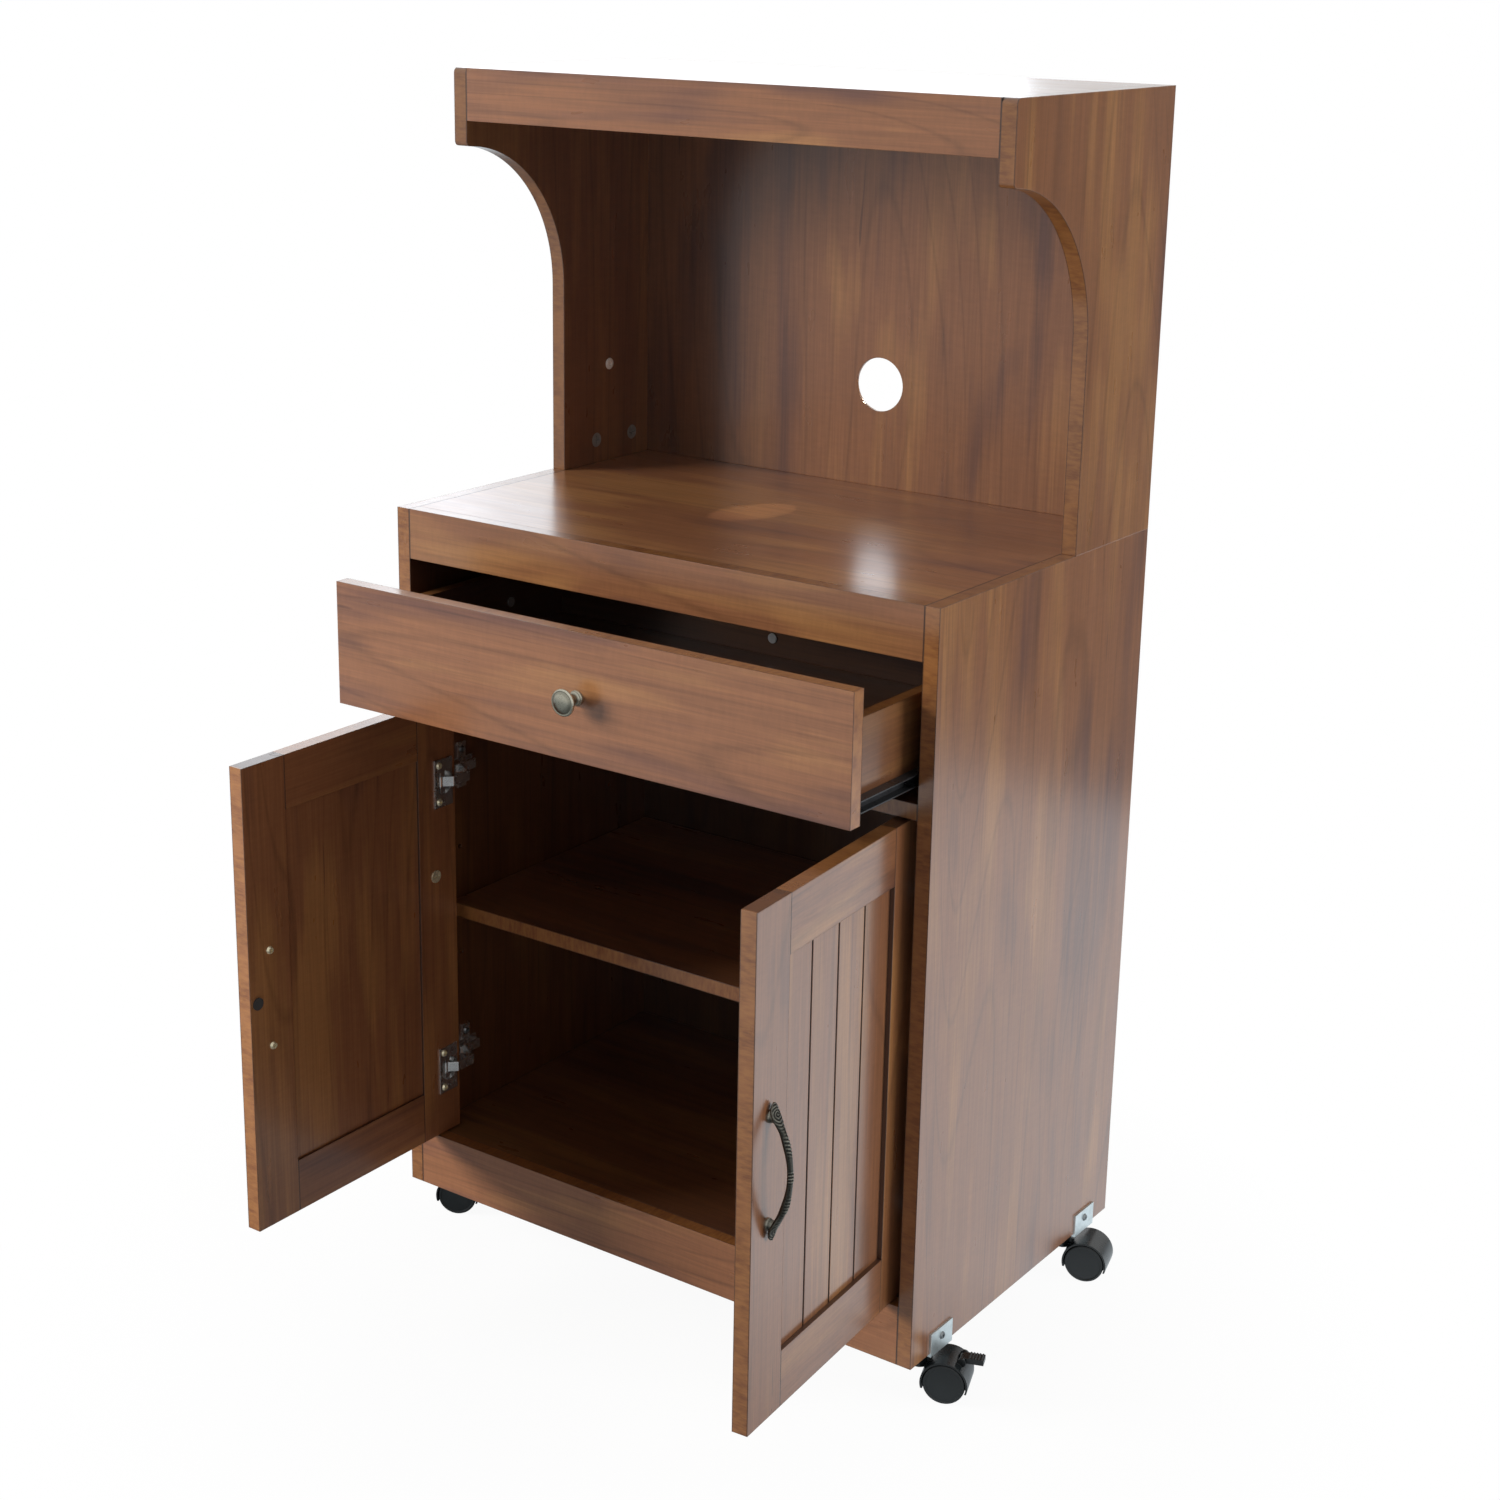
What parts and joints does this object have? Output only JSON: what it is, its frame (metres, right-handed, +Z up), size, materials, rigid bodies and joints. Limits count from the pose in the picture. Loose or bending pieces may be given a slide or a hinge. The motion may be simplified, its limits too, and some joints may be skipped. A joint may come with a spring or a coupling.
{
  "type": "microwave cart",
  "caption": "Rolling kitchen cart with a panelled cupboard, a drawer and a counter under an open hutch for a microwave oven.",
  "frame": {"origin": "on the floor, on the case's middle plane, midway between the case's back edges and the free edge of the open left door", "axes": "+Z up, the doors and the drawer face -Y, +X to the right of someone who faces the doors"},
  "size_m": [0.6796, 0.6338, 1.18],
  "materials": {
    "cherry_laminate": "semi-gloss cherry laminate with an orange edge band",
    "hardboard": "satin printed hardboard",
    "nickel_plate": "bright nickel plate",
    "zinc_plate": "satin zinc plate",
    "antique_pewter": "satin antique pewter, lighter where it is rubbed",
    "brass_plate": "satin",
    "black_steel": "satin black",
    "caster_plastic": "satin black",
    "dark_rubber": "matte"
  },
  "bodies": {
    "cabinet": {"side_panel_left": "cherry_laminate", "side_panel_right": "cherry_laminate", "counter_top": "cherry_laminate", "counter_rail": "cherry_laminate", "divider": "cherry_laminate", "bottom_panel": "cherry_laminate", "plinth_rail": "cherry_laminate", "base_back": "hardboard", "hutch_side_left": "cherry_laminate", "hutch_side_right": "cherry_laminate", "hutch_top": "cherry_laminate", "hutch_rail": "cherry_laminate", "hutch_back": "hardboard", "shelf": "cherry_laminate", "shelf_pins": "nickel_plate", "cam_fittings": "nickel_plate", "back_nails": "zinc_plate", "cabinet_runners": "black_steel", "frame_screws": "zinc_plate", "hinge_plates": "nickel_plate", "hinge_arms": "nickel_plate", "caster_brackets": "zinc_plate", "caster_stems": "zinc_plate", "stem_nuts": "zinc_plate"},
    "cabinet_roller_pair": {"cabinet_rollers": "caster_plastic"},
    "drawer": {"drawer_front": "cherry_laminate", "drawer_side_left": "cherry_laminate", "drawer_side_right": "cherry_laminate", "drawer_back": "cherry_laminate", "drawer_bottom": "hardboard", "drawer_runners": "black_steel", "drawer_knob": "antique_pewter", "knob_screw": "brass_plate", "drawer_caps": "nickel_plate"},
    "drawer_roller_pair": {"drawer_rollers": "caster_plastic"},
    "left_door": {"left_door_stiles": "cherry_laminate", "left_door_rails": "cherry_laminate", "left_door_panel": "cherry_laminate", "left_hinge_cups": "nickel_plate", "left_handle": "antique_pewter", "left_door_screws": "brass_plate", "left_door_bumper": "dark_rubber"},
    "right_door": {"right_door_stiles": "cherry_laminate", "right_door_rails": "cherry_laminate", "right_door_panel": "cherry_laminate", "right_hinge_cups": "nickel_plate", "right_handle": "antique_pewter", "right_door_screws": "brass_plate", "right_door_bumper": "dark_rubber"},
    "caster_front_left": {"hood_front_left": "caster_plastic"},
    "wheelset_front_left": {"wheels_front_left": "caster_plastic"},
    "caster_front_right": {"hood_front_right": "caster_plastic"},
    "wheelset_front_right": {"wheels_front_right": "caster_plastic"},
    "caster_rear_left": {"hood_rear_left": "caster_plastic"},
    "wheelset_rear_left": {"wheels_rear_left": "caster_plastic"},
    "caster_rear_right": {"hood_rear_right": "caster_plastic"},
    "wheelset_rear_right": {"wheels_rear_right": "caster_plastic"},
    "brake_left": {"brake_lever_left": "caster_plastic"},
    "brake_right": {"brake_lever_right": "caster_plastic"}
  },
  "joints": [
    {"name": "drawer_slide", "type": "slide", "parent": "cabinet", "child": "drawer", "axis": [0, -1, 0], "range_m": [-0.103, 0.122]},
    {"name": "cabinet_roller_spin", "type": "hinge", "parent": "cabinet", "child": "cabinet_roller_pair", "pos_m": [0, -0.03675, 0.6151], "axis": [1, 0, 0], "continuous": true},
    {"name": "drawer_roller_spin", "type": "hinge", "parent": "drawer", "child": "drawer_roller_pair", "pos_m": [0, 0.13885, 0.6122], "axis": [1, 0, 0], "continuous": true},
    {"name": "left_door_hinge", "type": "hinge", "parent": "cabinet", "child": "left_door", "pos_m": [-0.2685, -0.04935, 0.3395], "axis": [0, 0, 1], "range_deg": [-6, 90]},
    {"name": "right_door_hinge", "type": "hinge", "parent": "cabinet", "child": "right_door", "pos_m": [0.2685, -0.04935, 0.3395], "axis": [0, 0, 1], "range_deg": [-94.3, 1.7]},
    {"name": "front_left_swivel", "type": "hinge", "parent": "cabinet", "child": "caster_front_left", "pos_m": [-0.267, 0.00785, 0.045], "axis": [0, 0, 1], "continuous": true},
    {"name": "front_left_axle", "type": "hinge", "parent": "caster_front_left", "child": "wheelset_front_left", "pos_m": [-0.2904, -0.00459, 0.02], "axis": [0.4695, -0.8829, 0], "continuous": true},
    {"name": "front_right_swivel", "type": "hinge", "parent": "cabinet", "child": "caster_front_right", "pos_m": [0.284, -0.01165, 0.045], "axis": [0, 0, 1], "continuous": true},
    {"name": "front_right_axle", "type": "hinge", "parent": "caster_front_right", "child": "wheelset_front_right", "pos_m": [0.3089, -0.00259, 0.02], "axis": [-0.342, 0.9397, 0], "continuous": true},
    {"name": "rear_left_swivel", "type": "hinge", "parent": "cabinet", "child": "caster_rear_left", "pos_m": [-0.284, 0.26685, 0.045], "axis": [0, 0, 1], "continuous": true},
    {"name": "rear_left_axle", "type": "hinge", "parent": "caster_rear_left", "child": "wheelset_rear_left", "pos_m": [-0.3089, 0.27591, 0.02], "axis": [-0.342, -0.9397, 0], "continuous": true},
    {"name": "rear_right_swivel", "type": "hinge", "parent": "cabinet", "child": "caster_rear_right", "pos_m": [0.284, 0.26685, 0.045], "axis": [0, 0, 1], "continuous": true},
    {"name": "rear_right_axle", "type": "hinge", "parent": "caster_rear_right", "child": "wheelset_rear_right", "pos_m": [0.3096, 0.27371, 0.02], "axis": [-0.2588, 0.9659, 0], "continuous": true},
    {"name": "left_brake_pedal", "type": "hinge", "parent": "caster_front_left", "child": "brake_left", "pos_m": [-0.3032, -0.0114, 0.0405], "axis": [0.4695, -0.8829, 0], "range_deg": [0, 14]},
    {"name": "right_brake_pedal", "type": "hinge", "parent": "caster_front_right", "child": "brake_right", "pos_m": [0.32253, 0.00237, 0.0405], "axis": [-0.342, 0.9397, 0], "range_deg": [0, 14]}
  ],
  "couplings": [
    {"joint": "cabinet_roller_spin", "follows": "drawer_slide", "rad_per_m": 227.27},
    {"joint": "drawer_roller_spin", "follows": "drawer_slide", "rad_per_m": 192.31}
  ]
}
